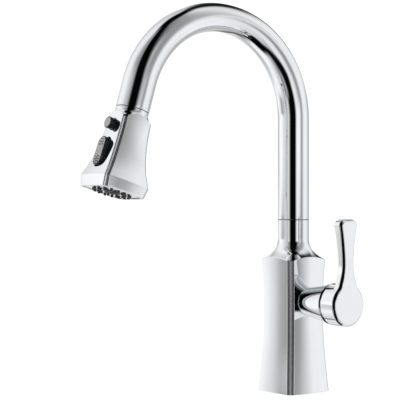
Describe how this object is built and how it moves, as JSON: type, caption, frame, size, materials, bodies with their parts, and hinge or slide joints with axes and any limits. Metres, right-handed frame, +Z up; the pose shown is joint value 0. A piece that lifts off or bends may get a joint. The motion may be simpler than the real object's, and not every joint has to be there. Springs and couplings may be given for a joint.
{
  "type": "pull down kitchen faucet",
  "caption": "Single lever pull down kitchen faucet: square waisted tower, high arc swivel spout, side lever and a flared square spray head with pause button and spray rocker.",
  "frame": {"origin": "centre of the tower's base on the deck plane", "axes": "+Z up the riser, spout reaching towards -Y, side lever on +X"},
  "size_m": [0.1154, 0.2721, 0.4663],
  "materials": {
    "chrome": "mirror polished plate",
    "handle_chrome": "mirror polished plate",
    "spout_chrome": "mirror polished plate",
    "head_chrome": "mirror polished plate",
    "raw_brass": "machined",
    "zinc_steel": "zinc plated",
    "stainless": "turned",
    "magnet": "nickel plated",
    "black_rubber": "matt",
    "grey_silicone": "satin",
    "black_plastic": "fine moulded",
    "grey_plastic": "satin moulded",
    "button_grey": "satin moulded",
    "icon_black": "printed",
    "white_nylon": "natural",
    "face_plate": "bright plated",
    "ceramic": "lapped ceramic",
    "hose_braid": "woven nylon"
  },
  "bodies": {
    "root": {"body_shell": "chrome", "base_gasket": "black_rubber", "mounting_shank": "raw_brass", "waterway_block": "raw_brass", "spout_slip_ring": "black_plastic", "spout_retaining_screw": "stainless", "valve_housing": "chrome", "cartridge_gasket": "black_rubber", "cartridge_body": "grey_plastic", "ceramic_disc_fixed": "ceramic", "cartridge_nut": "raw_brass", "bonnet": "chrome"},
    "temperature_spindle": {"cartridge_spindle": "grey_plastic", "pivot_pin": "stainless"},
    "moving_disc": {"ceramic_disc_moving": "ceramic"},
    "handle": {"lever_stem": "raw_brass", "handle_lever": "handle_chrome", "handle_set_screw": "stainless", "screw_plug": "grey_plastic"},
    "spout": {"spout_tube": "spout_chrome", "spout_stub": "raw_brass", "swivel_bush_upper": "white_nylon", "swivel_bush_lower": "white_nylon", "swivel_o_rings": "black_rubber", "dock_collar": "black_plastic", "dock_magnet": "magnet", "spray_hose": "hose_braid", "hose_connector": "raw_brass"},
    "hose_end": {"hose_tail": "hose_braid", "hose_ferrule": "stainless", "hose_fitting": "raw_brass"},
    "spray_head": {"head_shell": "head_chrome", "spray_core": "black_plastic", "dock_ring": "stainless", "swivel_nut": "raw_brass", "inlet_washer": "black_rubber", "rocker_frame": "black_plastic", "rocker_pin": "stainless", "pause_spring": "stainless", "spray_face": "face_plate", "nozzle_mat": "grey_silicone", "aerator": "black_plastic", "face_gasket": "black_rubber"},
    "pause_button": {"pause_button": "button_grey", "pause_stem": "stainless"},
    "rocker": {"rocker": "button_grey", "rocker_icons": "icon_black", "diverter_paddle": "black_rubber"},
    "mounting_nut": {"deck_gasket": "black_rubber", "clamp_washer": "zinc_steel", "mounting_nut": "raw_brass", "clamp_screws": "zinc_steel"}
  },
  "joints": [
    {"name": "spout_swivel", "type": "hinge", "parent": "root", "child": "spout", "pos_m": [0, 0, 0.174], "axis": [0, 0, 1], "continuous": true},
    {"name": "spray_pull", "type": "slide", "parent": "spout", "child": "hose_end", "axis": [0, -0.2823, -0.9593], "range_m": [0, 0.185], "stiffness_N_per_m": 8, "springref_m": -0.5},
    {"name": "head_swivel", "type": "hinge", "parent": "hose_end", "child": "spray_head", "pos_m": [0, -0.19552, 0.27777], "axis": [0, 0.2823, 0.9593], "continuous": true},
    {"name": "pause_press", "type": "slide", "parent": "spray_head", "child": "pause_button", "axis": [0, 0.9593, -0.2823], "range_m": [0, 0.003], "stiffness_N_per_m": 500, "springref_m": -0.002, "deforming": ["pause_spring"]},
    {"name": "rocker_toggle", "type": "hinge", "parent": "spray_head", "child": "rocker", "pos_m": [0, -0.22283, 0.23671], "axis": [-1, 0, 0], "range_deg": [0, 11]},
    {"name": "temperature_turn", "type": "hinge", "parent": "root", "child": "temperature_spindle", "pos_m": [0.047, 0, 0.092], "axis": [1, 0, 0], "range_deg": [-45, 45]},
    {"name": "handle_lift", "type": "hinge", "parent": "temperature_spindle", "child": "handle", "pos_m": [0.047, 0, 0.092], "axis": [0, 1, 0], "range_deg": [0, 22]},
    {"name": "disc_shift", "type": "slide", "parent": "temperature_spindle", "child": "moving_disc", "axis": [0, 0, 1], "range_m": [0, 0.0027]},
    {"name": "nut_travel", "type": "slide", "parent": "root", "child": "mounting_nut", "axis": [0, 0, -1], "range_m": [0, 0.065]}
  ],
  "couplings": [
    {"joint": "disc_shift", "follows": "handle_lift", "m_per_rad": 0.0068}
  ]
}
